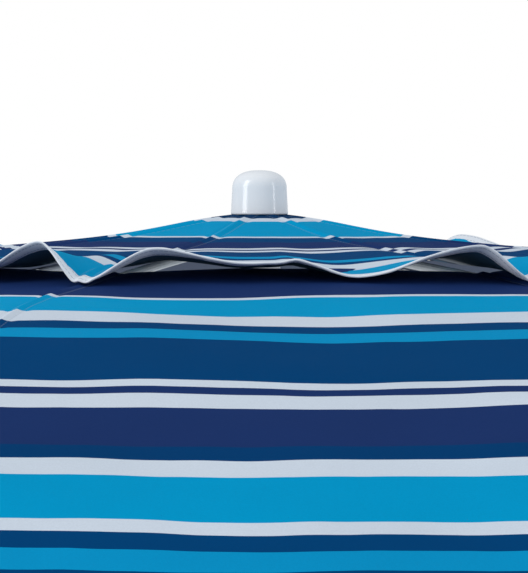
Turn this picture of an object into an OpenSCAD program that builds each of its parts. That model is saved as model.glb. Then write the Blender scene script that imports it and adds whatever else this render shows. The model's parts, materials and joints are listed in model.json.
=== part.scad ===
// Vented beach umbrella: eight curved ribs with a striped canopy, a smaller vent
// canopy above it, a sliding runner with stretchers, a push-button tilt joint,
// and a telescoping two-part pole with a pointed foot.
// Origin: the tip of the foot. +Z is up, and all sizes are millimetres.

/* [Canopy] */
// Number of ribs
rib_count = 8; // [6:2:8]
// Radius from the pole axis to the end of a rib
rib_reach = 980; // [900:10:1000]
// Radius of the canopy hem at a rib
canopy_r = 965; // [880:5:970]
// Radius of the hole in the top of the main canopy, at a rib
hole_r = 300; // [280:5:330]
// Radius of the vent canopy hem, at a rib
vent_r = 368; // [364:2:380]
// Height of the two waves that the vent hem makes beside each rib
vent_wave = 24; // [0:1:30]
// Height of the vent hem at the middle of a gore
vent_mid = 9; // [0:1:20]
// How far the canopy hem curves in between two ribs
scallop = 18; // [0:1:30]
// Thickness of the canopy's plain solids
cloth_t = 1; // [0.8:0.1:1.5]

/* [Ribs and stretchers] */
// Radius of a rib rod
rib_rod_r = 3; // [2.5:0.1:3.5]
// Radius of the circle of rib pivots in the crown hub
rib_pivot_r = 17; // [16:0.5:18]
// Radius of the stretcher bracket on a rib
bracket_at = 350; // [320:5:360]
// Distance of the bracket's pin below the rib
bracket_drop = 11; // [10:0.5:13]
// Radius of a stretcher rod
stretcher_r = 2.8; // [2.5:0.1:3]
// Radius of the circle of stretcher pivots in the runner
runner_pivot_r = 24; // [23:0.5:26]
// Distance of the open runner's pivots below the rib pivots
runner_drop = 260; // [250:5:280]

/* [Pole] */
// Height of the rib pivots above the tip of the foot
crown_z = 2230; // [2230:1:2240]
// Outer radius of the upper and middle tubes
pole_r = 14; // [13:0.5:14]
// Outer radius of the lower tube
lower_r = 16; // [16:0.5:17]
// Wall of the upper and middle tubes
pole_wall = 1.2; // [1:0.1:1.5]
// Wall of the lower tube
lower_wall = 1.3; // [1:0.1:1.5]
// Height of the lower tube's top end
lower_top = 780; // [740:10:780]
// Length of the middle tube inside the lower tube when fully raised
overlap = 300; // [250:10:300]
// Height of the tilt pivot
tilt_z = 1140; // [1140:1:1150]
// Height of the pointed foot
spike_h = 80; // [60:5:100]

/* [Finial] */
// Radius of the finial at its base
finial_r = 19; // [17:0.5:21]
// Height of the finial
finial_h = 29.5; // [28:0.5:34]

/* [Hidden] */
$fn = 64;
gore = 360 / rib_count;
half_gore = gore / 2;
rib_ids = [1:rib_count];

// Fits: a running pin, a loose open pivot, a rod in its sleeve, and the space
// between two bodies
run = 0.06;
loose = 0.4;
rod_fit = 0.1;
apart = 0.5;

// Rib pivots lie in this order round the crown, with a gore facing -Y
function rib_angle(k) = -90 + half_gore + (k - 1) * gore;

// A rib is three arcs, joined at these radii with these slopes below horizontal
knee_r = [rib_pivot_r, 400, 800, rib_reach];
knee_slope = [3, 6.5, 29, 37];
function arc_r(i) =
    (knee_r[i + 1] - knee_r[i]) / (sin(knee_slope[i + 1]) - sin(knee_slope[i]));
function arc_drop(i) = arc_r(i) * (cos(knee_slope[i]) - cos(knee_slope[i + 1]));
function knee_z(i) = i == 0 ? 0 : knee_z(i - 1) - arc_drop(i - 1);
function arc_at(r) = r < knee_r[1] ? 0 : r < knee_r[2] ? 1 : 2;
function rib_sin(r) = let(i = arc_at(r)) sin(knee_slope[i]) + (r - knee_r[i]) / arc_r(i);
function rib_slope(r) = asin(rib_sin(r));
// Height of the rib's centre line above the rib pivots
function rib_z(r) =
    let(i = arc_at(r)) knee_z(i) - arc_r(i) * (cos(knee_slope[i]) - cos(rib_slope(r)));

// Crown hub
hub_r = 24;
hub_top = 5;
hub_bottom = -9;
hub_slot = 5.4;
hub_plug = 50;
eye_r = 4.5;
eye_w = 4.6;
arm_w = 3.8;
arm_h = 7;
pin_r = 1.5;
hub_pin_w = 10;
root_sleeve = [30, 60];
rod_start = root_sleeve[0] + 4;
sleeve_r = 5;
boss_r = 15;
boss_top = 15.5;
stud_r = 6;
stud_top = 34;
finial_base = 18;
cap_side_h = 16.5;
cap_flatness = 2.5;

// Bracket pin of a rib and pivot of the runner, in the plane of the rib
bracket_x = bracket_at - bracket_drop * sin(rib_slope(bracket_at));
bracket_z = rib_z(bracket_at) - bracket_drop * cos(rib_slope(bracket_at));
stretcher_run = bracket_x - runner_pivot_r;
stretcher_rise = bracket_z + runner_drop;
stretcher_len = norm([stretcher_run, stretcher_rise]);
stretcher_slope = atan2(stretcher_rise, stretcher_run);
tab_w = 3.2;
tab_r = 4.2;
clip_w = 30;
clip_r = 5.2;
fork_r = 4.5;
fork_len = 16;
fork_h = 7;
foot_len = 18;
foot_h = 5;
cheek_gap = 0.4;
cheek_w = 2.2;
lower_eye_r = 4;
lower_eye_w = 3.6;

// Runner
runner_z = crown_z - runner_drop;
flange_r = 30;
flange_h = 14;
runner_sleeve_r = 18;
runner_grip_r = 20.5;
runner_grip_h = 46;
grip_rings = [4, 16, 28];
grip_ring_h = 7;
runner_bottom = runner_z - flange_h / 2 - runner_grip_h;
runner_pin_r = 1.4;
runner_pin_w = 13;

// Runner catch, a sprung nose in a slot of the upper tube
catch_w = 6;
catch_h = 22;
catch_out = 3;

// Tilt joint
tongue_w = 17.2;
tongue_r = 14.5;
cheek_r = 17;
housing_w = 34;
housing_r = 18;
housing_bottom = tilt_z - 60;
housing_floor = tilt_z - 15;
tilt_pin_r = 3.5;
pin_head_h = 2;
tongue_sleeve_z = tilt_z + 28;
tongue_sleeve_h = 40;
tongue_sleeve_r = pole_r + 3;
button_r = 4;
button_x = 6;
button_len = 16;
button_z = tilt_z - 21.5;

// Poles
spike_tip_r = 3;
spike_plug_h = 40;
pole_in = pole_r - pole_wall;
lower_in = lower_r - lower_wall;
upper_pole_z = tongue_sleeve_z + 4;
upper_pole_top = crown_z + hub_bottom;
mid_pole_z = lower_top - overlap;
mid_pole_top = housing_floor - 13;
bush_h = 30;
bush_floor = 3;
collar_r = 21;
collar_h = 60;
collar_top = lower_top + 5;
collar_z = collar_top - collar_h;
neck_r = lower_r - 0.2;
neck_z = collar_z - 25;
knob_z = lower_top - 22;
knob_shank_r = 4;
knob_boss_r = 9;
knob_boss_end = collar_r + 7;
knob_x = collar_r + 9;
knob_r = 12;
knob_h = 12;
knob_lobe_r = 6;
knob_lobe_at = 11;

// Canopy cloth: height of the underside above the rib centre line
cloth_on_rib = rib_rod_r + 0.4;
vent_on_rib = cloth_on_rib + 2.8;
cloth_gap = 0.15;
vent_inner_r = 12;
vent_peak = 10.5;
vent_drape = 75;
wave_at = 0.33;

fixed_nodes = [
    "foot_spike", "lower_pole", "clamp_collar", "clamp_knob", "slide_bush", "mid_pole",
    "tilt_housing", "tilt_pin", "tilt_button", "tilt_tongue", "upper_pole",
    "runner_catch", "runner", "runner_pins", "crown_hub", "hub_pins", "finial"
];
rib_parts = ["rib", "rib_fittings", "stretcher", "canopy", "vent"];

// ---- Helpers ----

module ring(r_out, r_in, h) {
    difference() {
        cylinder(r = r_out, h = h);
        translate([0, 0, -1]) cylinder(r = r_in, h = h + 2);
    }
}

module pin_y(r, w) {
    rotate([90, 0, 0]) cylinder(r = r, h = w, center = true);
}

module box_mid(size, centre) {
    translate(centre) cube(size, center = true);
}

module round_the_crown() {
    for (k = rib_ids) rotate([0, 0, rib_angle(k)]) children();
}

module at_rib(k) {
    translate([0, 0, crown_z]) rotate([0, 0, rib_angle(k)]) children();
}

// Places children on the rib at radius r, with +X running out along the rib
module on_rib(r) {
    translate([r, 0, rib_z(r)]) rotate([0, rib_slope(r), 0]) children();
}

// Places children at the bracket pin, with +X running down the stretcher
module on_stretcher() {
    translate([bracket_x, 0, bracket_z]) rotate([0, 180 - stretcher_slope, 0]) children();
}

// ---- Pole ----

module foot_spike() {
    color("dimgray") {
        cylinder(r1 = spike_tip_r, r2 = lower_r, h = spike_h);
        translate([0, 0, spike_h]) cylinder(r = lower_in, h = spike_plug_h);
    }
}

// Tube, drawn in slightly at the top where the collar grips it
module lower_pole() {
    color("white") difference() {
        union() {
            translate([0, 0, spike_h]) ring(lower_r, lower_in, neck_z - spike_h);
            translate([0, 0, neck_z]) ring(neck_r, lower_in, lower_top - neck_z);
        }
        translate([0, 0, knob_z]) rotate([0, 90, 0])
            cylinder(r = knob_shank_r + apart, h = lower_r + 2);
    }
}

// Collar that grips the lower tube and guides the middle tube
module clamp_collar() {
    color("whitesmoke") difference() {
        union() {
            translate([0, 0, collar_z]) cylinder(r = collar_r, h = collar_h);
            translate([0, 0, knob_z]) rotate([0, 90, 0]) cylinder(r = knob_boss_r, h = knob_boss_end);
        }
        translate([0, 0, collar_z - 1]) cylinder(r = neck_r, h = lower_top - collar_z + 1);
        translate([0, 0, lower_top - 1]) cylinder(r = pole_r + apart, h = 10);
        translate([0, 0, knob_z]) rotate([0, 90, 0]) cylinder(r = knob_shank_r + run, h = 60);
    }
}

// Clamp screw with a three-lobed knob
module clamp_knob() {
    color("dimgray") translate([0, 0, knob_z]) rotate([0, 90, 0]) {
        translate([0, 0, pole_r + apart]) cylinder(r = knob_shank_r, h = knob_x - pole_r);
        translate([0, 0, knob_x]) {
            cylinder(r = knob_r, h = knob_h);
            for (a = [0:120:240]) rotate([0, 0, a]) translate([knob_lobe_at, 0, 0])
                cylinder(r = knob_lobe_r, h = knob_h);
        }
    }
}

// Plastic bush on the foot of the middle tube, sliding in the lower tube
module slide_bush() {
    color("black") difference() {
        translate([0, 0, mid_pole_z - bush_floor]) cylinder(r = lower_in - run, h = bush_h + bush_floor);
        translate([0, 0, mid_pole_z]) cylinder(r = pole_r, h = bush_h + 1);
        translate([0, 0, mid_pole_z - bush_floor - 1]) cylinder(r = pole_in - 2, h = bush_floor + 2);
    }
}

module mid_pole() {
    color("white") translate([0, 0, mid_pole_z]) ring(pole_r, pole_in, mid_pole_top - mid_pole_z);
}

// ---- Tilt joint ----

// Fixed half: a socket on the middle tube, with two cheeks round the tongue
module tilt_housing() {
    cheek = (housing_w - tongue_w) / 2 - apart / 2;
    color("whitesmoke") difference() {
        union() {
            translate([0, 0, housing_bottom])
                cylinder(r = housing_r, h = housing_floor - housing_bottom);
            for (side = [-1, 1]) translate([0, side * (housing_w - cheek) / 2, 0]) {
                translate([0, 0, tilt_z]) pin_y(cheek_r, cheek);
                box_mid([2 * cheek_r, cheek, tilt_z - housing_floor + 4],
                    [0, 0, (tilt_z + housing_floor - 4) / 2]);
            }
        }
        translate([0, 0, housing_bottom - 1]) cylinder(r = pole_r, h = mid_pole_top - housing_bottom + 1);
        translate([0, 0, tilt_z]) pin_y(tilt_pin_r, housing_w + 2);
        translate([button_x - 3.5, 0, button_z]) rotate([0, 90, 0])
            cylinder(r = button_r + run, h = 30);
    }
}

module tilt_pin() {
    color("silver") translate([0, 0, tilt_z]) {
        pin_y(tilt_pin_r, housing_w);
        for (side = [-1, 1]) translate([0, side * (housing_w + pin_head_h) / 2, 0])
            pin_y(tilt_pin_r + 2, pin_head_h);
    }
}

module tilt_button() {
    color("dimgray") translate([button_x, 0, button_z]) rotate([0, 90, 0])
        cylinder(r = button_r, h = button_len);
}

// Moving half: a tongue on the pin, under a socket for the upper tube
module tilt_tongue() {
    color("whitesmoke") difference() {
        union() {
            translate([0, 0, tilt_z]) pin_y(tongue_r, tongue_w);
            box_mid([2 * tongue_r, tongue_w, tongue_sleeve_z - tilt_z + 2],
                [0, 0, (tilt_z + tongue_sleeve_z + 2) / 2]);
            translate([0, 0, tongue_sleeve_z]) cylinder(r = tongue_sleeve_r, h = tongue_sleeve_h);
        }
        translate([0, 0, tilt_z]) pin_y(tilt_pin_r + run, tongue_w + 2);
        translate([0, 0, upper_pole_z]) cylinder(r = pole_r, h = tongue_sleeve_h);
    }
}

// ---- Upper pole and runner ----

module upper_pole() {
    color("white") difference() {
        translate([0, 0, upper_pole_z]) ring(pole_r, pole_in, upper_pole_top - upper_pole_z);
        box_mid([pole_r + 2, catch_w + 2 * apart, catch_h + 2 * apart],
            [pole_r / 2 + 1, 0, runner_bottom - catch_h / 2 - 1]);
    }
}

// Sprung nose that holds the open runner up
module runner_catch() {
    top = runner_bottom - 1;
    color("silver") translate([0, catch_w / 2, top - catch_h]) rotate([90, 0, 0])
        linear_extrude(catch_w) polygon([
            [2, 0], [pole_in - 3, 0], [pole_r, 2], [pole_r + catch_out, catch_h - 4],
            [pole_r + catch_out, catch_h], [2, catch_h]
        ]);
}

module runner() {
    color("whitesmoke") translate([0, 0, runner_z]) difference() {
        union() {
            translate([0, 0, -flange_h / 2]) cylinder(r = flange_r, h = flange_h);
            translate([0, 0, -flange_h / 2 - runner_grip_h])
                cylinder(r = runner_sleeve_r, h = runner_grip_h + 1);
            for (z = grip_rings)
                translate([0, 0, -flange_h / 2 - runner_grip_h + z])
                    cylinder(r = runner_grip_r, h = grip_ring_h);
        }
        translate([0, 0, -80]) cylinder(r = pole_r + run, h = 120);
        round_the_crown() box_mid([14, lower_eye_w + 2 * apart, flange_h + 2],
            [runner_pivot_r - lower_eye_r - 1 + 7, 0, 0]);
        round_the_crown() translate([runner_pivot_r, 0, 0]) pin_y(runner_pin_r, runner_pin_w);
    }
}

module runner_pins() {
    color("silver") translate([0, 0, runner_z])
        round_the_crown() translate([runner_pivot_r, 0, 0]) pin_y(runner_pin_r, runner_pin_w);
}

// ---- Crown ----

module crown_hub() {
    color("whitesmoke") translate([0, 0, crown_z]) difference() {
        union() {
            translate([0, 0, hub_bottom]) cylinder(r = hub_r, h = hub_top - hub_bottom);
            translate([0, 0, hub_bottom - hub_plug]) cylinder(r = pole_in, h = hub_plug + 1);
            cylinder(r = boss_r, h = boss_top);
            cylinder(r = stud_r, h = stud_top);
        }
        round_the_crown() box_mid([20, hub_slot, 30], [rib_pivot_r - eye_r - 1.2 + 10, 0, -5]);
        round_the_crown() translate([rib_pivot_r, 0, 0]) pin_y(pin_r, hub_pin_w);
    }
}

module hub_pins() {
    color("silver") translate([0, 0, crown_z])
        round_the_crown() translate([rib_pivot_r, 0, 0]) pin_y(pin_r, hub_pin_w);
}

// Domed cap: a tapered side under a dome that is flatter than an ellipse
module finial() {
    side_r = finial_r - 0.8;
    dome_h = finial_h - cap_side_h;
    power = 2 / cap_flatness;
    dome = [for (a = [0:6:90])
        [side_r * pow(cos(a), power), cap_side_h + dome_h * pow(sin(a), power)]];
    color("white") translate([0, 0, crown_z + finial_base]) difference() {
        rotate_extrude() polygon(concat([[0, 0], [finial_r, 0]], dome));
        translate([0, 0, -1]) cylinder(r = stud_r, h = stud_top - finial_base + 1);
    }
}

// ---- Ribs ----

// One curved rod: rings of points across the rib's curve, joined into a tube
module rib(k) {
    sides = 12;
    rings = 28;
    function station(i) = rod_start + (rib_reach - rod_start) * i / rings;
    function ring_point(r, a) = let(h = rib_rod_r * sin(a))
        [r + h * sin(rib_slope(r)), rib_rod_r * cos(a), rib_z(r) + h * cos(rib_slope(r))];
    color("gainsboro") at_rib(k) polyhedron(
        points = [for (i = [0:rings]) for (j = [0:sides - 1])
            ring_point(station(i), 360 * j / sides)],
        faces = concat(
            [[for (j = [0:sides - 1]) j]],
            [[for (j = [sides - 1:-1:0]) rings * sides + j]],
            [for (i = [0:rings - 1]) for (j = [0:sides - 1])
                let(a = i * sides, b = a + sides, n = (j + 1) % sides)
                [a + j, b + j, b + n, a + n]]
        ),
        convexity = 4
    );
}

// Root eye with its sleeve
module root_fitting() {
    arm = root_sleeve[0] + 2.5 - rib_pivot_r;
    difference() {
        union() {
            pin_y(eye_r, eye_w);
            rotate([0, knee_slope[0], 0]) box_mid([arm, arm_w, arm_h], [arm / 2, 0, 0]);
            translate([-rib_pivot_r, 0, 0]) on_rib(root_sleeve[0] + 0.5) rotate([0, 90, 0])
                cylinder(r = sleeve_r, h = root_sleeve[1] - root_sleeve[0]);
        }
        pin_y(pin_r + run, 10);
        translate([-rib_pivot_r, 0, 0]) on_rib(rod_start) rotate([0, 90, 0])
            cylinder(r = rib_rod_r + rod_fit, h = 60);
    }
}

// Clip, open at the top, with the tab that the stretcher's fork straddles
module bracket() {
    clip_top = rib_rod_r - 0.6;
    difference() {
        union() {
            translate([-clip_w / 2, 0, 0]) rotate([0, 90, 0]) cylinder(r = clip_r, h = clip_w);
            translate([0, 0, -bracket_drop]) pin_y(tab_r, tab_w);
            box_mid([2 * tab_r, tab_w, bracket_drop - 3.6], [0, 0, -bracket_drop / 2 - 1.8]);
        }
        translate([-20, 0, 0]) rotate([0, 90, 0]) cylinder(r = rib_rod_r + rod_fit, h = 40);
        box_mid([40, 20, 10], [0, 0, clip_top + 5]);
        translate([0, 0, -bracket_drop]) pin_y(pin_r + run / 2, 10);
    }
}

// Round-ended cap, bored to fit over the end of the rod
module tip_cap() {
    cap_r = sleeve_r - 0.6;
    bore_r = rib_rod_r + rod_fit;
    end = [for (a = [0:10:90]) [cap_r * cos(a), 3 + cap_r * sin(a)]];
    rotate([0, 90, 0]) rotate_extrude()
        polygon(concat([[0, 0.1], [bore_r, 0.1], [bore_r, -12], [cap_r, -12]], end));
}

module rib_fittings(k) {
    color("whitesmoke") at_rib(k) {
        translate([rib_pivot_r, 0, 0]) root_fitting();
        on_rib(bracket_at) bracket();
        on_rib(rib_reach) tip_cap();
    }
    color("silver") at_rib(k) on_rib(bracket_at) translate([0, 0, -bracket_drop])
        pin_y(pin_r, tab_w + 2 * (cheek_gap + cheek_w));
}

// Stretcher rod with a fork at the bracket and an eye in the runner
module stretcher(k) {
    fork_w = tab_w + 2 * (cheek_gap + cheek_w);
    color("gainsboro") at_rib(k) on_stretcher() difference() {
        union() {
            pin_y(fork_r, fork_w);
            box_mid([fork_len, fork_w, fork_h], [fork_len / 2, 0, 0]);
            translate([fork_len - 1, 0, 0]) rotate([0, 90, 0])
                cylinder(r = stretcher_r, h = stretcher_len - fork_len + 1 - 10);
            translate([stretcher_len, 0, 0]) pin_y(lower_eye_r, lower_eye_w);
            box_mid([foot_len, lower_eye_w, foot_h], [stretcher_len - foot_len / 2, 0, 0]);
        }
        box_mid([19, tab_w + 2 * cheek_gap, 20], [-0.5, 0, 0]);
        pin_y(pin_r + run, 20);
        translate([stretcher_len, 0, 0]) pin_y(runner_pin_r + loose, 20);
    }
}

// ---- Canopy cloth ----

// A point of cloth: r is the rib radius of its row, and u runs from -1 to 1 across
// the rib, from the middle of one gore to the middle of the next
function cloth_point(r, u, h) =
    let(
        slope = rib_slope(r),
        row = r + h * sin(slope),
        t = abs(u) * (1 - cloth_gap / (row * sin(half_gore)))
    ) [
        row * (1 - t * pow(sin(half_gore), 2)),
        sign(u) * t * row * cos(half_gore) * sin(half_gore),
        rib_z(r) + h * cos(slope)
    ];

// Waves of the vent hem: a crest beside each rib and a lower middle
function wave(u) =
    let(t = abs(u))
    t < wave_at ? vent_wave * sin(90 * t / wave_at)
                : vent_mid + (vent_wave - vent_mid) * (1 + cos(180 * (t - wave_at) / (1 - wave_at))) / 2;
// The vent drapes from the raised boss under the finial down to the ribs
function vent_height(r, u) = vent_on_rib + vent_peak * exp(-pow(r / vent_drape, 2))
    + wave(u) * pow(r / vent_r, 3);
function hem_row(u) = canopy_r - scallop * (1 - pow(1 - abs(u), 2));

function grid_faces(rows, cols) = let(n = rows * cols) concat(
    [for (i = [0:rows - 2]) for (j = [0:cols - 2]) let(a = i * cols + j) each
        [[a, a + 1, a + cols + 1], [a, a + cols + 1, a + cols],
         [a + n, a + n + cols + 1, a + n + 1], [a + n, a + n + cols, a + n + cols + 1]]],
    [for (j = [0:cols - 2]) let(a = j, b = (rows - 1) * cols + j) each
        [[a, a + n, a + n + 1], [a, a + n + 1, a + 1],
         [b, b + 1, b + n + 1], [b, b + n + 1, b + n]]],
    [for (i = [0:rows - 2]) let(a = i * cols, b = a + cols - 1) each
        [[a, a + cols, a + cols + n], [a, a + cols + n, a + n],
         [b, b + n, b + n + cols], [b, b + n + cols, b + cols]]]
);

// top and under are lists of rows of points, with the same number in each row
module sheet(top, under) {
    cols = len(top[0]);
    polyhedron(
        points = concat([for (row = top) each row], [for (row = under) each row]),
        faces = grid_faces(len(top), cols),
        convexity = 4
    );
}

module canopy(k) {
    rows = 12;
    cols = 4;
    function at(i, u) = hole_r + (hem_row(u) - hole_r) * i / rows;
    function layer(h) = [for (i = [0:rows]) [for (j = [-cols:cols])
        cloth_point(at(i, j / cols), j / cols, h)]];
    color("darkturquoise") at_rib(k) sheet(layer(cloth_on_rib + cloth_t), layer(cloth_on_rib));
}

module vent(k) {
    rows = 6;
    cols = 9;
    function at(i) = vent_inner_r + (vent_r - vent_inner_r) * i / rows;
    function layer(h) = [for (i = [0:rows]) [for (j = [-cols:cols])
        cloth_point(at(i), j / cols, h + vent_height(at(i), j / cols))]];
    color("deepskyblue") at_rib(k) sheet(layer(cloth_t), layer(0));
}

foot_spike();
lower_pole();
clamp_collar();
clamp_knob();
slide_bush();
mid_pole();
tilt_housing();
tilt_pin();
tilt_button();
tilt_tongue();
upper_pole();
runner_catch();
runner();
runner_pins();
crown_hub();
hub_pins();
finial();
for (k = rib_ids) {
    rib(k);
    rib_fittings(k);
    stretcher(k);
    canopy(k);
    vent(k);
}
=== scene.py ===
"""Looks of the vented beach umbrella: striped cloth canopy and vent, white hem
binding, moulded crown cap, powder-coated tubes and fibreglass ribs.

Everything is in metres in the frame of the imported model: +Z up, the tip of the
foot at the origin, and a canopy gore facing -Y.
"""

import json
import math

import bpy
import numpy as np
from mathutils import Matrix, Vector, noise


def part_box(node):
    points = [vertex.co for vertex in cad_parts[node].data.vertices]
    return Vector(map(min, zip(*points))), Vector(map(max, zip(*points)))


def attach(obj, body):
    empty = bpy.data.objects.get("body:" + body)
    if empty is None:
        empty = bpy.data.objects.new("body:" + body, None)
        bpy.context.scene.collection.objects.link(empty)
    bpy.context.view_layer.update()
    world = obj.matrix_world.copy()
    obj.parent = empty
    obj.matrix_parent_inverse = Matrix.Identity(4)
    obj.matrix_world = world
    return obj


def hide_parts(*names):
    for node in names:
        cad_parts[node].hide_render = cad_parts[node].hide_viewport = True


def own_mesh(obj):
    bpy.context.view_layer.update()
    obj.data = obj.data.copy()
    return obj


MM = 0.001

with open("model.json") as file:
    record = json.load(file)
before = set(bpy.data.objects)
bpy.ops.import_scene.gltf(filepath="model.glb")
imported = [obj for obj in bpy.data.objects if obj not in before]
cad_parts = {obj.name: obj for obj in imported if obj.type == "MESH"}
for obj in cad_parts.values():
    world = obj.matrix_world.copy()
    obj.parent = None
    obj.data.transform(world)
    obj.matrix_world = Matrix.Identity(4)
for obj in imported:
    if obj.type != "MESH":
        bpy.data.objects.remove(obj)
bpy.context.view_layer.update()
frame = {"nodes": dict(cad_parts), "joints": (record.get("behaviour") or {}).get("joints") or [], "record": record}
JOINTS = {joint["name"]: joint for joint in frame["joints"]}

# ---------------------------------------------------------------- dimensions

RIBS = 8
HALF = math.pi / RIBS
CROWN_Z = JOINTS["rib_1_hinge"]["pos_m"][2]
FRONT = -math.pi / 2

# A rib is three arcs: their ends' radii and slopes below horizontal
KNEE_R = [0.017, 0.400, 0.800, 0.980]
KNEE_SLOPE = [math.radians(a) for a in (3, 6.5, 29, 37)]

HOLE_R = 0.300
VENT_R = 0.368
CANOPY_R = 0.965
# Where the stretch of rib ends on which the cloth is worked out, past its hem
END_R = CANOPY_R + 0.02
SCALLOP = 0.018
VENT_INNER_R = 0.0125
VENT_PEAK = 0.0118
VENT_DRAPE = 0.075

CLOTH_ON_RIB = 3.8 * MM
VENT_ON_RIB = 6.6 * MM
CLOTH_T = 0.5 * MM
BINDING_W = 13 * MM
BINDING_T = 0.9 * MM

# Where the outer part of each half gore starts, measured across from its rib, and
# the rib radius of the row that is just wide enough to reach it
FOLD_Y = 0.165
FOLD_R = FOLD_Y / (math.cos(HALF) * math.sin(HALF))

# ---------------------------------------------------------------- camera

CAMERA_AZIMUTH = math.radians(-5.1)
CAMERA_DISTANCE = 4.0
CAMERA_Z = CROWN_Z + 0.034
CAMERA_LENS = 377
AIM_RIGHT = 0.003
AIM_Z = CROWN_Z - 0.030


def add_camera():
    """A long lens, level with the crown, close in on the top of the canopy."""
    back = Vector((math.sin(CAMERA_AZIMUTH), -math.cos(CAMERA_AZIMUTH), 0))
    right = Vector((math.cos(CAMERA_AZIMUTH), math.sin(CAMERA_AZIMUTH), 0))
    place = back * CAMERA_DISTANCE + Vector((0, 0, CAMERA_Z))
    aim = right * AIM_RIGHT + Vector((0, 0, AIM_Z))
    data = bpy.data.cameras.new("camera")
    data.lens = CAMERA_LENS
    data.clip_end = 100
    camera = bpy.data.objects.new("camera", data)
    bpy.context.scene.collection.objects.link(camera)
    camera.location = place
    camera.rotation_euler = (aim - place).to_track_quat("-Z", "Y").to_euler()
    bpy.context.scene.camera = camera


add_camera()

# ---------------------------------------------------------------- the rib curve


def arc_radius(i):
    """Radius of the rib's arc i."""
    rise = math.sin(KNEE_SLOPE[i + 1]) - math.sin(KNEE_SLOPE[i])
    return (KNEE_R[i + 1] - KNEE_R[i]) / rise


def arc_drop(i):
    """How far the rib falls over its arc i."""
    return arc_radius(i) * (math.cos(KNEE_SLOPE[i]) - math.cos(KNEE_SLOPE[i + 1]))


KNEE_Z = [-sum(arc_drop(j) for j in range(i)) for i in range(len(KNEE_R))]


def arc_at(r):
    """The arc that radius r lies on."""
    return 0 if r < KNEE_R[1] else 1 if r < KNEE_R[2] else 2


def rib_slope(r):
    """Slope of the rib below horizontal at radius r."""
    i = arc_at(r)
    return math.asin(math.sin(KNEE_SLOPE[i]) + (r - KNEE_R[i]) / arc_radius(i))


def rib_z(r):
    """Height of the rib's centre line at radius r, above the rib pivots."""
    i = arc_at(r)
    return KNEE_Z[i] - arc_radius(i) * (math.cos(KNEE_SLOPE[i]) - math.cos(rib_slope(r)))


def rib_angle(k):
    """Direction of rib k, seen from above."""
    return FRONT + HALF + (k - 1) * 2 * HALF


# ---------------------------------------------------------------- cloth surfaces
# A half gore lies between rib k and the middle of the gore on its side (+1 or -1).
# t runs from 0 at the rib to 1 at the middle of the gore.


def smooth_curve(knots, x):
    """Smooth curve through (x, y) knots, level at each of them."""
    for (x0, y0), (x1, y1) in zip(knots, knots[1:]):
        if x <= x1:
            s = (x - x0) / (x1 - x0)
            return y0 + (y1 - y0) * s * s * (3 - 2 * s)
    return knots[-1][1]


# Lift of the vent hem above its ties in millimetres, from one rib to the next.
# The gores are numbered by the rib on their left, seen from outside: gore 8 faces the
# camera. The waves of gores that the photo doesn't show are invented.
HEM_WAVES = {
    8: [(0, 0), (0.165, 21), (0.36, 11), (0.48, 11.5), (0.61, 3), (0.87, 23), (1, 0)],
    7: [(0, 0), (0.15, 20), (0.38, 7), (0.55, 10), (0.72, 9), (0.89, 25), (1, 0)],
    1: [(0, 0), (0.13, 22), (0.35, 9), (0.52, 12), (0.66, 5), (0.85, 21), (1, 0)],
    2: [(0, 0), (0.18, 24), (0.42, 6), (0.56, 11), (0.70, 8), (0.88, 22), (1, 0)],
    3: [(0, 0), (0.14, 19), (0.33, 10), (0.50, 8), (0.64, 12), (0.84, 24), (1, 0)],
    4: [(0, 0), (0.16, 23), (0.40, 8), (0.53, 13), (0.68, 6), (0.87, 20), (1, 0)],
    5: [(0, 0), (0.13, 21), (0.36, 12), (0.47, 7), (0.62, 10), (0.86, 25), (1, 0)],
    6: [(0, 0), (0.17, 22), (0.39, 5), (0.58, 12), (0.71, 7), (0.85, 23), (1, 0)],
}


def gore_of(k, side):
    """The gore that this half belongs to."""
    return k if side > 0 else (k - 2) % RIBS + 1


def across_gore(side, t):
    """Place across the whole gore, from 0 at its left rib to 1 at its right rib."""
    return t / 2 if side > 0 else 1 - t / 2


def across_y(r, t):
    """Distance across from the rib at t, on the row of rib radius r."""
    return t * r * math.cos(HALF) * math.sin(HALF)


def share_at(r, y):
    """The t at distance y across from the rib, at most the middle of the gore."""
    return min(1.0, y / (r * math.cos(HALF) * math.sin(HALF)))


def ripple(point, size, seed):
    """Smooth noise at a point, with bumps of about the size given."""
    return noise.noise(Vector(point) / size + Vector((seed, seed * 0.7, seed * 1.3)))


def wrinkles(point, kind):
    """Height at a point of one kind of wrinkle, given as height, size and seed."""
    height, size, seed = kind
    return height * ripple(point, size, seed)


def bell(x, centre, width):
    """1 at the centre, and next to nothing a few widths away from it."""
    return math.exp(-(((x - centre) / width) ** 2))


def fading(x, distance):
    """1 at x = 0, and next to nothing a few distances on."""
    return math.exp(-x / distance)


def chord_point(k, side, r, t, h):
    """Point of a half gore that is straight across, h above the rib's centre line."""
    slope = rib_slope(r)
    row = r + h * math.sin(slope)
    x = row * (1 - t * math.sin(HALF) ** 2)
    y = side * t * row * math.cos(HALF) * math.sin(HALF)
    z = rib_z(r) + h * math.cos(slope)
    a = rib_angle(k)
    return (
        x * math.cos(a) - y * math.sin(a),
        x * math.sin(a) + y * math.cos(a),
        CROWN_Z + z,
    )


SEAM_RIDGE = 1.1 * MM
SEAM_GROOVE = 0.5 * MM
GROOVE_Y = 5 * MM


def seam_profile(y):
    """Height of the sewn seam over a rib, y across from it: a ridge beside a groove."""
    return SEAM_RIDGE * bell(y, 0, 2.2 * MM) - SEAM_GROOVE * bell(y, GROOVE_Y, 2 * MM)


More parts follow.
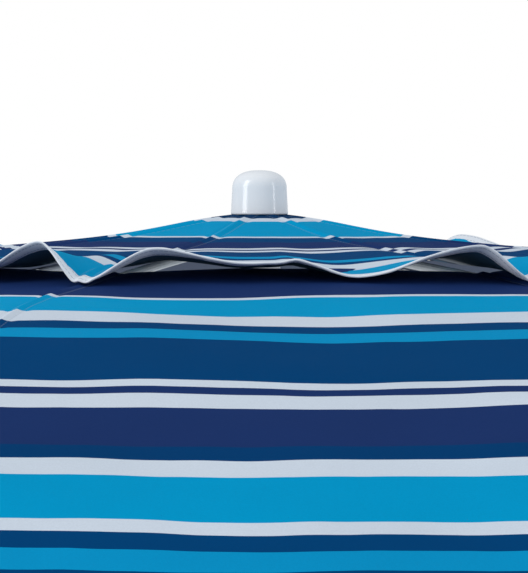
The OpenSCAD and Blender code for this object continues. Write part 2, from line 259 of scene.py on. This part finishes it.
# Kinds of wrinkle: height, size and seed
CANOPY_SWELL = (3.2 * MM, 0.13, 3.1)
CANOPY_CREASE = (0.7 * MM, 0.035, 7.7)
RIB_PULL = (1.2 * MM, 0.022, 5.3)
RIM_SWELL = (2.0 * MM, 0.05, 9.2)
VENT_SWELL = (1.5 * MM, 0.06, 1.9)
VENT_CREASE = (0.5 * MM, 0.02, 4.4)

# Lie of the main cloth: raised beside the ribs, hollow between them, slack at the hole
RIB_BULGE = 3.2 * MM
BULGE_RAMP = 0.1
MIDDLE_HOLLOW = 1.2 * MM
RIM_SLACK = 4.2 * MM
RIM_REACH = 0.04


def canopy_height(k, side, r, t):
    """Height of the main cloth above the rib's centre line."""
    y = across_y(r, t)
    flat = chord_point(k, side, r, t, 0)
    outside_vent = min(1, max(0, (r - VENT_R) / BULGE_RAMP)) * min(1, (END_R - r) / BULGE_RAMP)
    bulge = RIB_BULGE * (1 - t) ** 1.3 * outside_vent
    hollow = MIDDLE_HOLLOW * (1 - (1 - t) ** 2) * (r / CANOPY_R)
    waves = wrinkles(flat, CANOPY_SWELL) + wrinkles(flat, CANOPY_CREASE)
    # The threads' pull at the rib runs in short streaks, so it changes quickly with height
    pull = wrinkles((flat[0], flat[1], flat[2] * 6), RIB_PULL) * fading(y, 0.02)
    tension = 1 - fading(y, 0.03)
    rim = fading(r - HOLE_R, RIM_REACH)
    slack = (RIM_SLACK + wrinkles(flat, RIM_SWELL)) * rim * (1 - fading(y, 0.05))
    return CLOTH_ON_RIB + (bulge - hollow) + (waves + pull) * tension + slack + seam_profile(y)


# Lie of the vent: a dip inside its hem, a lift off the rib beside the dip, and a fold
# that runs down the middle of each gore
VALLEY = 2.1 * MM
VALLEY_R = 0.312
RIB_LIFT = 4.5 * MM
RIB_LIFT_R = 0.335
MIDDLE_FOLD = 3.6 * MM
MIDDLE_FOLD_V = 0.47


def vent_height(k, side, r, t):
    """Height of the vent cloth above the rib's centre line."""
    v = across_gore(side, t)
    y = across_y(r, t)
    flat = chord_point(k, side, r, t, 0)
    share = r / VENT_R
    # How far up the vent the hem's waves reach: further in the middle of the gore
    flare = 0.45 * share**3 + 0.55 * share**11
    reach = 0.2 * (share**3 - share**11) * bell(v, 0.5, 0.18)
    wave = smooth_curve(HEM_WAVES[gore_of(k, side)], v) * MM * (flare + reach)
    valley = -VALLEY * bell(r, VALLEY_R, 0.024) * (1 - fading(y, 0.04))
    drape = VENT_PEAK * bell(r, 0, VENT_DRAPE)
    lift = RIB_LIFT * bell(r, RIB_LIFT_R, 0.045) * fading(y, 0.03)
    tie = 1 - share**16
    fold = MIDDLE_FOLD * bell(v, MIDDLE_FOLD_V, 0.022) * max(0, share - 0.5)
    waves = (wrinkles(flat, VENT_SWELL) + wrinkles(flat, VENT_CREASE)) * share
    tension = 1 - fading(y, 0.02)
    seam = seam_profile(y) * min(1, r / 0.05)
    body = drape + wave + valley + lift * tie + fold + waves * tension
    return VENT_ON_RIB + body + seam


def hem_row(t):
    """Rib radius of the canopy hem, which curves in between two ribs."""
    return CANOPY_R - SCALLOP * (1 - (1 - t) ** 2)


def rib_length(r):
    """Length along the rib from the axis to radius r."""
    steps = 60
    total = 0
    for i in range(steps):
        middle = r * (i + 0.5) / steps
        total += r / steps / math.cos(rib_slope(max(KNEE_R[0], middle)))
    return total


STATIONS = np.linspace(0, END_R, 200)
LENGTHS = np.array([rib_length(r) for r in STATIONS])


def gore_length(r):
    """Length down the middle of the gore, from the axis to the row of rib radius r."""
    return float(np.interp(r, STATIONS, LENGTHS)) * math.cos(HALF)


# ---------------------------------------------------------------- cloth meshes

# Distances between the points from which a surface's direction is worked out
NEAR_R = 0.8 * MM
NEAR_T = 0.004


class Cloth:
    """One kind of canopy: its surface, its rows and how its stripes are counted."""

    def __init__(self, name, height, first_row, last_row, stripe):
        self.name = name
        self.height = height
        self.first_row = first_row
        self.last_row = last_row
        self.stripe = stripe

    def point(self, k, side, r, t):
        return chord_point(k, side, r, t, self.height(k, side, r, t))

    def frame_at(self, k, side, r, t):
        """The surface's point, its outward direction down the gore, and its normal."""
        here = Vector(self.point(k, side, r, t))
        out = (Vector(self.point(k, side, r + NEAR_R, t)) - here).normalized()
        near = Vector(self.point(k, side, r, max(0, t - NEAR_T)))
        far = Vector(self.point(k, side, r, min(1, t + NEAR_T)))
        normal = out.cross((far - near) * side).normalized()
        return here, out, normal


class Sheet:
    """Points and faces of one piece of cloth, with the values its materials read."""

    def __init__(self, mirrored):
        self.mirrored = mirrored
        self.points, self.normals = [], []
        self.faces, self.slots = [], []
        self.values = {"stripe": [], "seam_y": [], "along": []}

    def add_point(self, point, normal, **values):
        self.points.append(tuple(point))
        self.normals.append(tuple(normal))
        for key, value in values.items():
            self.values[key].append(value)

    def add_face(self, corners, slot):
        self.faces.append(tuple(reversed(corners)) if self.mirrored else tuple(corners))
        self.slots.append(slot)

    def to_piece(self, name):
        mesh = bpy.data.meshes.new(name)
        mesh.from_pydata(self.points, [], self.faces)
        mesh.polygons.foreach_set("material_index", self.slots)
        mesh.polygons.foreach_set("use_smooth", [True] * len(self.faces))
        for key, values in self.values.items():
            attribute = mesh.attributes.new(key, "FLOAT", "POINT")
            attribute.data.foreach_set("value", np.array(values, np.float32))
        mesh.update()
        mesh.normals_split_custom_set_from_vertices(self.normals)
        piece = bpy.data.objects.new(name, mesh)
        bpy.context.scene.collection.objects.link(piece)
        return piece


# Material slots of a sheet
FACE, UNDERSIDE, TAPE = 0, 1, 2

# How much the columns of an inner piece crowd towards its rib: 1 is evenly spaced
CROWDING = 1.7
# How far the stripes of neighbouring gores miss each other at a seam
STRIPE_MISMATCH = 1.5 * MM


def column_t(inner, s, r):
    """The t of a column of a piece, s from 0 to 1 across the piece."""
    fold = share_at(r, FOLD_Y)
    return fold * s**CROWDING if inner else fold + (1 - fold) * s


def row_steps(cloth, inner, first, rows):
    """Rows from 0 to 1. One is moved to where an inner piece reaches its full width."""
    steps = [i / rows for i in range(rows + 1)]
    if inner and FOLD_R < cloth.last_row(1):
        corner = (FOLD_R - first) / (cloth.last_row(1) - first)
        steps[round(corner * rows)] = corner
    return steps


def strip_mesh(cloth, k, side, inner, grid):
    """Closed mesh of half a gore: inner is the part beside the rib, out to FOLD_Y."""
    rows, cols = grid
    sheet = Sheet(mirrored=side < 0)
    shift = STRIPE_MISMATCH * math.sin(gore_of(k, side) * 2.4)
    first = cloth.first_row if inner else max(cloth.first_row, FOLD_R)
    steps = row_steps(cloth, inner, first, rows)

    for layer in (FACE, UNDERSIDE):
        for step in steps:
            for j in range(cols + 1):
                s = j / cols
                # The row's end depends on t, and t on the row, so both are refined once
                t = column_t(inner, s, first + (cloth.last_row(1) - first) * step)
                r = first + (cloth.last_row(t) - first) * step
                t = column_t(inner, s, r)
                point, _, normal = cloth.frame_at(k, side, r, t)
                if layer == UNDERSIDE:
                    point, normal = point - normal * CLOTH_T, -normal
                sheet.add_point(
                    point,
                    normal,
                    stripe=cloth.stripe(r) + shift,
                    seam_y=across_y(r, t),
                    along=gore_length(r),
                )

    add_layers(sheet, rows, cols)
    add_binding(sheet, cloth, k, side, inner, cols)
    half = "left" if side < 0 else "right"
    return sheet.to_piece(f"{cloth.name}_{k}_{half}_{'rib' if inner else 'mid'}")


def add_layers(sheet, rows, cols):
    """Faces of the two layers, and of the cut edges between them."""
    width = cols + 1
    under = (rows + 1) * width
    for i in range(rows):
        for j in range(cols):
            a = i * width + j
            b = a + under
            sheet.add_face((a, a + width, a + width + 1, a + 1), FACE)
            sheet.add_face((b, b + 1, b + width + 1, b + width), UNDERSIDE)

    def add_edge(a, b, turned):
        ring = (a, b, b + under, a + under)
        sheet.add_face(tuple(reversed(ring)) if turned else ring, FACE)

    for j in range(cols):
        for i, turned in ((0, False), (rows, True)):
            add_edge(i * width + j, i * width + j + 1, turned)
    for i in range(rows):
        for j, turned in ((0, True), (cols, False)):
            add_edge(i * width + j, (i + 1) * width + j, turned)


# Section of the hem tape: share of its width inwards from the hem, share of its height
TAPE_SECTION = [
    (1.0, 0.2), (0.94, 0.8), (0.5, 1.0), (0.1, 0.9), (-0.02, 0.5), (-0.05, 0.0),
    (-0.02, -0.5), (0.1, -0.9), (0.5, -1.0), (0.94, -0.8), (1.0, -0.2),
]
PUCKER = 0.22
PUCKER_SIZE = 6 * MM
CURL = 0.5 * MM
CURL_SIZE = 30 * MM


def add_binding(sheet, cloth, k, side, inner, cols):
    """Folded white tape over the hem, as a flat closed tube along it."""
    start = len(sheet.points)
    steps = cols * 2
    count = len(TAPE_SECTION)
    travelled = 0.0
    previous = None
    for j in range(steps + 1):
        s = j / steps
        t = column_t(inner, s, cloth.last_row(0.5))
        r = cloth.last_row(t)
        t = column_t(inner, s, r)
        edge, out, normal = cloth.frame_at(k, side, r, t)
        edge = edge - normal * CLOTH_T / 2
        if previous is not None:
            travelled += (edge - previous).length
        previous = edge
        pucker = 1 + PUCKER * ripple(edge, PUCKER_SIZE, 2.2)
        curl = CURL * ripple(edge, CURL_SIZE, 6.1)
        for inward, up in TAPE_SECTION:
            lift = up * pucker * BINDING_T + curl * (1 - inward)
            facing = normal * up + out * (1 - 2 * inward) * (1 - abs(up))
            sheet.add_point(
                edge - out * inward * BINDING_W + normal * lift,
                facing.normalized(),
                stripe=inward * BINDING_W,
                seam_y=across_y(r, t),
                along=travelled,
            )
    for j in range(steps):
        for i in range(count):
            a = start + j * count + i
            b = start + j * count + (i + 1) % count
            sheet.add_face((a, b, b + count, a + count), TAPE)
    end = start + steps * count
    sheet.add_face([start + i for i in reversed(range(count))], TAPE)
    sheet.add_face([end + i for i in range(count)], TAPE)


# ---------------------------------------------------------------- materials

# Cloth colours, as linear light
TURQUOISE = (0.0, 0.32, 0.585)
POOL = (0.002, 0.29, 0.555)
WHITE = (0.66, 0.715, 0.78)
TEAL = (0.0, 0.054, 0.175)
DEEP_TEAL = (0.001, 0.046, 0.155)
INDIGO = (0.0125, 0.035, 0.135)
NAVY = (0.003, 0.038, 0.115)

# Stripes down the canopy from the rim of its hole: width in millimetres and colour
CANOPY_STRIPES = [
    (108, INDIGO), (8.5, WHITE), (49, TURQUOISE), (24, WHITE), (16.5, TEAL), (20, POOL),
    (67.5, TEAL), (11.5, WHITE), (8, INDIGO), (19, WHITE), (48, INDIGO), (17, DEEP_TEAL),
    (19, WHITE), (46, TURQUOISE), (11.5, WHITE), (16, TEAL), (20, POOL), (67.5, TEAL),
    (12, WHITE), (8, INDIGO), (19, WHITE), (48, INDIGO), (17, DEEP_TEAL), (19, WHITE),
    (47, TURQUOISE), (60, WHITE),
]
# Stripes up the vent from its hem
VENT_STRIPES = [
    (58, TURQUOISE), (22, WHITE), (12, TEAL), (13, POOL), (48, TEAL), (9, WHITE), (8, INDIGO),
    (9, WHITE), (40, INDIGO), (24, TEAL), (6, WHITE), (52, TURQUOISE), (11, WHITE), (45, NAVY),
]


class Nodes:
    """Short hand for building one material's node tree."""

    def __init__(self, name):
        self.material = bpy.data.materials.new(name)
        self.material.use_nodes = True
        self.tree = self.material.node_tree
        self.shader = self.tree.nodes["Principled BSDF"]

    def add(self, kind, **values):
        node = self.tree.nodes.new(kind)
        for key, value in values.items():
            setattr(node, key, value)
        return node

    def link(self, source, target):
        self.tree.links.new(source, target)

    def math(self, operation, a, b=None):
        """An operation on one or two values, each a number or another node's output."""
        node = self.add("ShaderNodeMath", operation=operation)
        for slot, value in enumerate((a, b)):
            if value is None:
                continue
            if isinstance(value, (int, float)):
                node.inputs[slot].default_value = value
            else:
                self.link(value, node.inputs[slot])
        return node.outputs[0]

    def attribute(self, name):
        return self.add("ShaderNodeAttribute", attribute_name=name).outputs["Fac"]

    def noise(self, scale, detail):
        node = self.add("ShaderNodeTexNoise")
        node.inputs["Scale"].default_value = scale
        node.inputs["Detail"].default_value = detail
        self.link(self.add("ShaderNodeTexCoord").outputs["Object"], node.inputs["Vector"])
        return node.outputs["Fac"]

    def spread(self, value, low, high):
        """Maps a 0 to 1 value onto low to high."""
        node = self.add("ShaderNodeMapRange")
        self.link(value, node.inputs["Value"])
        node.inputs["To Min"].default_value = low
        node.inputs["To Max"].default_value = high
        return node.outputs["Result"]

    def mix(self, factor, a, b, blend="MIX"):
        """A blend of two colours. The node's sockets 6 and 7 are the colours'."""
        node = self.add("ShaderNodeMix", data_type="RGBA", blend_type=blend)
        for place, value in ((0, factor), (6, a), (7, b)):
            socket = node.inputs[place]
            if isinstance(value, (int, float)):
                socket.default_value = value
            elif isinstance(value, tuple):
                socket.default_value = (*value, 1)
            else:
                self.link(value, socket)
        return node.outputs[2]

    def bump(self, height, strength, distance):
        node = self.add("ShaderNodeBump")
        node.inputs["Strength"].default_value = strength
        node.inputs["Distance"].default_value = distance
        self.link(height, node.inputs["Height"])
        self.link(node.outputs["Normal"], self.shader.inputs["Normal"])

    def colour(self, value):
        self.link(value, self.shader.inputs["Base Color"])

    def vary_roughness(self, value, low, high):
        self.link(self.spread(value, low, high), self.shader.inputs["Roughness"])

    def finish(self, roughness, coat=0.0, metallic=0.0, specular=0.5):
        self.shader.inputs["Roughness"].default_value = roughness
        self.shader.inputs["Coat Weight"].default_value = coat
        self.shader.inputs["Metallic"].default_value = metallic
        self.shader.inputs["Specular IOR Level"].default_value = specular
        return self.material


def stripe_ramp(nodes, stripes, position):
    """Hard-edged colour bands: position is a length in metres."""
    total = sum(width for width, _ in stripes) * MM
    ramp = nodes.add("ShaderNodeValToRGB")
    ramp.color_ramp.interpolation = "CONSTANT"
    elements = ramp.color_ramp.elements
    elements.remove(elements[1])
    place = 0.0
    for i, (width, colour) in enumerate(stripes):
        element = elements[0] if i == 0 else elements.new(place / total)
        element.position = place / total
        element.color = (*colour, 1)
        place += width * MM
    nodes.link(nodes.math("DIVIDE", position, total), ramp.inputs["Fac"])
    return ramp.outputs["Color"]


THREAD_PERIOD = 0.8 * MM
TWILL_PERIOD = 0.9 * MM

# Stitched lines: half their width, the share of a stitch that shows as thread, and
# for the seam and the tape the length of a stitch and the places of the lines
STITCH_HALF = 0.45 * MM
STITCH_SHOWN = 0.72
SEAM_STITCH = 3.4 * MM
SEAM_STITCH_Y = 4 * MM
TAPE_STITCH = 3.2 * MM
TAPE_STITCH_ROWS = (2.6 * MM, 10 * MM)

SEAM_THREAD = (0.30, 0.36, 0.42)
TAPE_THREAD = (0.50, 0.55, 0.62)
UNDERSIDE_GREY = (0.32, 0.35, 0.37)


def sine_wave(nodes, position, period):
    """-1 to 1 over each period of a length."""
    return nodes.math("SINE", nodes.math("MULTIPLY", position, 2 * math.pi / period))


def weave_height(nodes, across, along):
    """Plain weave: two threads to a period."""
    warp = sine_wave(nodes, across, THREAD_PERIOD)
    weft = sine_wave(nodes, along, THREAD_PERIOD)
    return nodes.math("MULTIPLY", warp, weft)


def stitch_mask(nodes, offset, at, along, pitch):
    """1 on the threads of a stitched line that runs at distance `at`, 0 elsewhere."""
    distance = nodes.math("ABSOLUTE", nodes.math("SUBTRACT", offset, at))
    near = nodes.math("LESS_THAN", distance, STITCH_HALF)
    beat = nodes.math("FRACT", nodes.math("DIVIDE", along, pitch))
    return nodes.math("MULTIPLY", near, nodes.math("LESS_THAN", beat, STITCH_SHOWN))


def cloth_material(name, stripes, painted_shade, grey):
    """Woven outdoor cloth. Its underside is duller than its face: darkened as painted shade, and greyed by grey
    like the back of the print.
    """
    n = Nodes(name)
    stripe, seam, along = n.attribute("stripe"), n.attribute("seam_y"), n.attribute("along")
    wander = n.spread(n.noise(14, 2), -1.6 * MM, 1.6 * MM)
    printed = stripe_ramp(n, stripes, n.math("ADD", stripe, wander))
    mottled = n.mix(1.0, printed, n.spread(n.noise(9, 4), 0.9, 1.08), "MULTIPLY")
    threads = n.mix(1.0, mottled, n.spread(n.noise(900, 1), 0.93, 1.06), "MULTIPLY")
    stitches = stitch_mask(n, seam, SEAM_STITCH_Y, along, SEAM_STITCH)
    sewn = n.mix(n.math("MULTIPLY", stitches, 0.22), threads, SEAM_THREAD)
    dull = n.mix(grey, sewn, UNDERSIDE_GREY)
    # Painted shade: on the underside copies the whole colour is multiplied down
    n.colour(n.mix(1.0, dull, (painted_shade, painted_shade, painted_shade), "MULTIPLY"))
    weave = n.math("MULTIPLY", weave_height(n, seam, along), 0.35)
    height = n.math("ADD", weave, n.math("MULTIPLY", stitches, 1.2))
    n.bump(n.math("ADD", height, n.noise(260, 2)), 0.35, 0.25 * MM)
    return n.finish(0.8, specular=0.02)


def binding_material():
    """White twill tape with two rows of stitches."""
    n = Nodes("hem_binding")
    inward, along = n.attribute("stripe"), n.attribute("along")
    twill = sine_wave(n, n.math("ADD", inward, along), TWILL_PERIOD)
    lines = [stitch_mask(n, inward, at, along, TAPE_STITCH) for at in TAPE_STITCH_ROWS]
    stitches = n.math("ADD", *lines)
    cloth = n.mix(n.noise(60, 3), (0.80, 0.83, 0.87), (0.90, 0.92, 0.95))
    n.colour(n.mix(stitches, cloth, TAPE_THREAD))
    n.bump(n.math("SUBTRACT", n.math("MULTIPLY", twill, 0.25), stitches), 0.6, 0.3 * MM)
    return n.finish(0.75, specular=0.15)


def moulded_material(name, colour, roughness, coat, grain, grain_scale):
    """Moulded plastic: a faint colour drift and a fine surface grain."""
    n = Nodes(name)
    low = tuple(c * 0.94 for c in colour)
    n.colour(n.mix(n.noise(18, 3), low, colour))
    n.vary_roughness(n.noise(45, 3), roughness * 0.85, roughness * 1.15)
    n.bump(n.noise(grain_scale, 2), grain, 0.15 * MM)
    return n.finish(roughness, coat=coat)


def tube_material():
    """White powder coat with its fine orange peel and light scuffs."""
    n = Nodes("powder_coat")
    scuffs = n.math("GREATER_THAN", n.noise(55, 6), 0.68)
    n.colour(n.mix(scuffs, (0.80, 0.81, 0.82), (0.72, 0.73, 0.74)))
    n.vary_roughness(n.noise(30, 4), 0.28, 0.42)
    n.bump(n.noise(750, 2), 0.25, 0.1 * MM)
    return n.finish(0.35, coat=0.15)


def steel_material():
    """Bright drawn steel of the pins."""
    n = Nodes("pin_steel")
    n.colour(n.mix(n.noise(120, 3), (0.55, 0.55, 0.56), (0.68, 0.68, 0.69)))
    n.vary_roughness(n.noise(200, 4), 0.25, 0.42)
    n.bump(n.noise(900, 2), 0.15, 0.05 * MM)
    return n.finish(0.32, metallic=1.0)


def fibreglass_material():
    """White fibreglass rod, with fibres that show faintly through the resin."""
    n = Nodes("fibreglass")
    streaks = n.noise(320, 4)
    n.colour(n.mix(streaks, (0.62, 0.64, 0.62), (0.78, 0.80, 0.78)))
    n.bump(streaks, 0.2, 0.08 * MM)
    return n.finish(0.38, coat=0.2)


# The underside copies carry painted shade, the vent's darkest, and are greyed like the back of the print
CANOPY_FACE = cloth_material("canopy_face", CANOPY_STRIPES, 1.0, 0.0)
CANOPY_UNDER = cloth_material("canopy_under", CANOPY_STRIPES, 0.8, 0.45)
VENT_FACE = cloth_material("vent_face", VENT_STRIPES, 1.0, 0.0)
VENT_UNDER = cloth_material("vent_under", VENT_STRIPES, 0.4, 0.5)
BINDING = binding_material()
GLOSS_WHITE = moulded_material("cap_plastic", (0.93, 0.93, 0.93), 0.2, 0.5, 0.03, 400)
WHITE_PLASTIC = moulded_material("white_plastic", (0.74, 0.75, 0.76), 0.42, 0.0, 0.18, 700)
DARK_PLASTIC = moulded_material("dark_plastic", (0.03, 0.033, 0.038), 0.48, 0.0, 0.2, 600)
POWDER_COAT = tube_material()
STEEL = steel_material()
FIBREGLASS = fibreglass_material()

# ---------------------------------------------------------------- canopies

VENT_LENGTH = gore_length(VENT_R)
HOLE_LENGTH = gore_length(HOLE_R)


def down_from_hole(r):
    return gore_length(r) - HOLE_LENGTH


def up_from_hem(r):
    return VENT_LENGTH - gore_length(r)


CANOPY = Cloth("canopy", canopy_height, HOLE_R, hem_row, down_from_hole)
VENT = Cloth("vent", vent_height, VENT_INNER_R, lambda t: VENT_R, up_from_hem)

# Rows and columns of each kind of piece
CANOPY_RIB_GRID = (72, 22)
CANOPY_MID_GRID = (60, 16)
VENT_GRID = (56, 40)


def flat_size(cloth, inner):
    """Width and length of the rectangle that a piece of half a gore is cut from."""
    last = cloth.last_row(0)
    first = cloth.first_row if inner else FOLD_R
    full = across_y(last, 1)
    width = min(full, FOLD_Y) if inner else full - FOLD_Y
    return width, rib_length(last) - rib_length(first)


def mount_cloth(piece, k, materials, replaced):
    """The piece rides on its rib, with its materials, in place of the imported piece."""
    for material in materials:
        piece.data.materials.append(material)
    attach(piece, f"rib_{k}")
    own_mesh(piece)
    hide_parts(replaced)


# The share of its width that a piece keeps when its rib is folded
KEEP_INNER = 0.26
KEEP_OUTER = 0.03
# The outer part starts, when folded, where the inner part ends
OUTER_ANCHOR = FOLD_Y * (KEEP_INNER - KEEP_OUTER) / (1 - KEEP_OUTER)


def build_canopies():
    canopy_cloth = (CANOPY_FACE, CANOPY_UNDER, BINDING)
    vent_cloth = (VENT_FACE, VENT_UNDER, BINDING)
    kinds = [
        (CANOPY, True, CANOPY_RIB_GRID, KEEP_INNER, 0, canopy_cloth),
        (CANOPY, False, CANOPY_MID_GRID, KEEP_OUTER, OUTER_ANCHOR, canopy_cloth),
        (VENT, True, VENT_GRID, KEEP_INNER, 0, vent_cloth),
    ]
    for k in range(1, RIBS + 1):
        for side in (-1, 1):
            for cloth, inner, grid, keep, anchor, materials in kinds:
                piece = strip_mesh(cloth, k, side, inner, grid)
                flat = flat_size(cloth, inner)
                replaced = f"{cloth.name}_{k}"
                mount_cloth(piece, k, materials, replaced)


build_canopies()

# ---------------------------------------------------------------- crown cap

CAP_R = 0.019
CAP_H = 0.0295
CAP_LIP_H = 1.2 * MM
CAP_SIDE_R = CAP_R - 0.8 * MM
CAP_SIDE_TOP = 16.5 * MM
# Roundness of the cap's shoulder: 2 would be an ellipse
CAP_SHOULDER = 2.5
CAP_TURNS = 96


def cap_outline():
    """Half section of the cap from its foot to its top, in metres."""
    foot = [
        (CAP_R - 1.6 * MM, 0),
        (CAP_R - 0.4 * MM, 0),
        (CAP_R, 0.5 * MM),
        (CAP_R, CAP_LIP_H),
    ]
    taper = CAP_R - CAP_SIDE_R
    side_h = CAP_SIDE_TOP - CAP_LIP_H
    wall = [(CAP_R - taper * s, CAP_LIP_H + side_h * s) for s in (0.25, 0.5, 0.75, 1)]
    dome_h = CAP_H - CAP_SIDE_TOP
    power = 2 / CAP_SHOULDER
    dome = []
    for degrees in (*range(4, 88, 4), 88.5, 90):
        a = math.radians(degrees)
        r = CAP_SIDE_R * math.cos(a) ** power
        dome.append((r, CAP_SIDE_TOP + dome_h * math.sin(a) ** power))
    return foot + wall + dome


def build_cap():
    """The glossy cap is turned from its outline, which starts a little inside its foot."""
    low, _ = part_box("finial")
    base = low[2]
    outline = cap_outline()[:-1]
    count = len(outline)
    verts, faces, dome_tip = [], [], []
    top = CAP_TURNS * count
    for i in range(CAP_TURNS):
        turn = 2 * math.pi * i / CAP_TURNS
        verts += [(r * math.cos(turn), r * math.sin(turn), base + z) for r, z in outline]
        a, b = i * count, (i + 1) % CAP_TURNS * count
        faces += [(a + j, b + j, b + j + 1, a + j + 1) for j in range(count - 1)]
        dome_tip.append((a + count - 1, b + count - 1, top))
    verts.append((0, 0, base + CAP_H))
    faces += dome_tip
    faces.append(tuple(i * count for i in reversed(range(CAP_TURNS))))
    mesh = bpy.data.meshes.new("crown_cap")
    mesh.from_pydata(verts, [], faces)
    mesh.polygons.foreach_set("use_smooth", [True] * (len(faces) - 1) + [False])
    mesh.materials.append(GLOSS_WHITE)
    cap = bpy.data.objects.new("crown_cap", mesh)
    bpy.context.scene.collection.objects.link(cap)
    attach(cap, "upper_pole")
    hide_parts("finial")


build_cap()

# ---------------------------------------------------------------- frame finishes

FINISHES = {
    "white_tube": POWDER_COAT,
    "white_plastic": WHITE_PLASTIC,
    "dark_plastic": DARK_PLASTIC,
    "steel": STEEL,
    "fibreglass": FIBREGLASS,
    "gloss_white": GLOSS_WHITE,
    "cloth": CANOPY_FACE,
}


def finish_frame():
    """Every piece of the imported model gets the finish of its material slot."""
    for part in frame["record"]["subparts"]:
        node = frame["nodes"][part["node"]]
        node.data.materials.clear()
        node.data.materials.append(FINISHES[part["material_slot"]])


finish_frame()

# ---------------------------------------------------------------- floor and light


FLOOR_R = 2.6


def add_floor():
    """Light grey disc that the umbrella stands on."""
    bpy.ops.mesh.primitive_circle_add(
        vertices=96, radius=FLOOR_R, fill_type="NGON", location=(0, 0, 0)
    )
    floor = bpy.context.object
    floor.name = "floor"
    n = Nodes("floor_paint")
    n.colour(n.mix(n.noise(6, 3), (0.76, 0.76, 0.77), (0.82, 0.82, 0.83)))
    floor.data.materials.append(n.finish(0.8))


def add_area_light(name, place, aim, size, power):
    """Upright rectangular lamp: size is its width and height."""
    data = bpy.data.lights.new(name, "AREA")
    data.shape = "RECTANGLE"
    data.size, data.size_y = size
    data.energy = power
    light = bpy.data.objects.new(name, data)
    bpy.context.scene.collection.objects.link(light)
    light.location = place
    light.rotation_euler = (Vector(aim) - Vector(place)).to_track_quat("-Z", "Y").to_euler()


WORLD_LIGHT = (0.60, 0.645, 0.70)


def add_world():
    """A white backdrop for the camera and a dimmer, cooler sky for the light."""
    world = bpy.data.worlds.new("studio")
    bpy.context.scene.world = world
    world.use_nodes = True
    nodes, links = world.node_tree.nodes, world.node_tree.links
    sky = nodes["Background"]
    sky.inputs["Color"].default_value = (*WORLD_LIGHT, 1)
    backdrop = nodes.new("ShaderNodeBackground")
    backdrop.inputs["Color"].default_value = (1, 1, 1, 1)
    path = nodes.new("ShaderNodeLightPath")
    mix = nodes.new("ShaderNodeMixShader")
    links.new(path.outputs["Is Camera Ray"], mix.inputs["Fac"])
    links.new(sky.outputs["Background"], mix.inputs[1])
    links.new(backdrop.outputs["Background"], mix.inputs[2])
    links.new(mix.outputs["Shader"], nodes["World Output"].inputs["Surface"])


# Name, place, aim, width and height, and power in watts
LAMPS = [
    ("key", (-3.2, -1.3, CROWN_Z + 1.5), (0, 0, CROWN_Z), (1.3, 3.4), 60),
    ("side", (2.9, -1.8, CROWN_Z + 0.7), (0, 0, CROWN_Z), (0.25, 2.4), 12),
    ("low", (0, -3.5, 1.2), (0, 0, 1.4), (2.0, 1.6), 18),
]


def add_lights():
    for lamp in LAMPS:
        add_area_light(*lamp)


add_floor()
add_world()
add_lights()
bpy.context.scene.view_settings.view_transform = "Standard"

# ---------------------------------------------------------------- finish


def corners(box):
    return [list(corner) for corner in box]
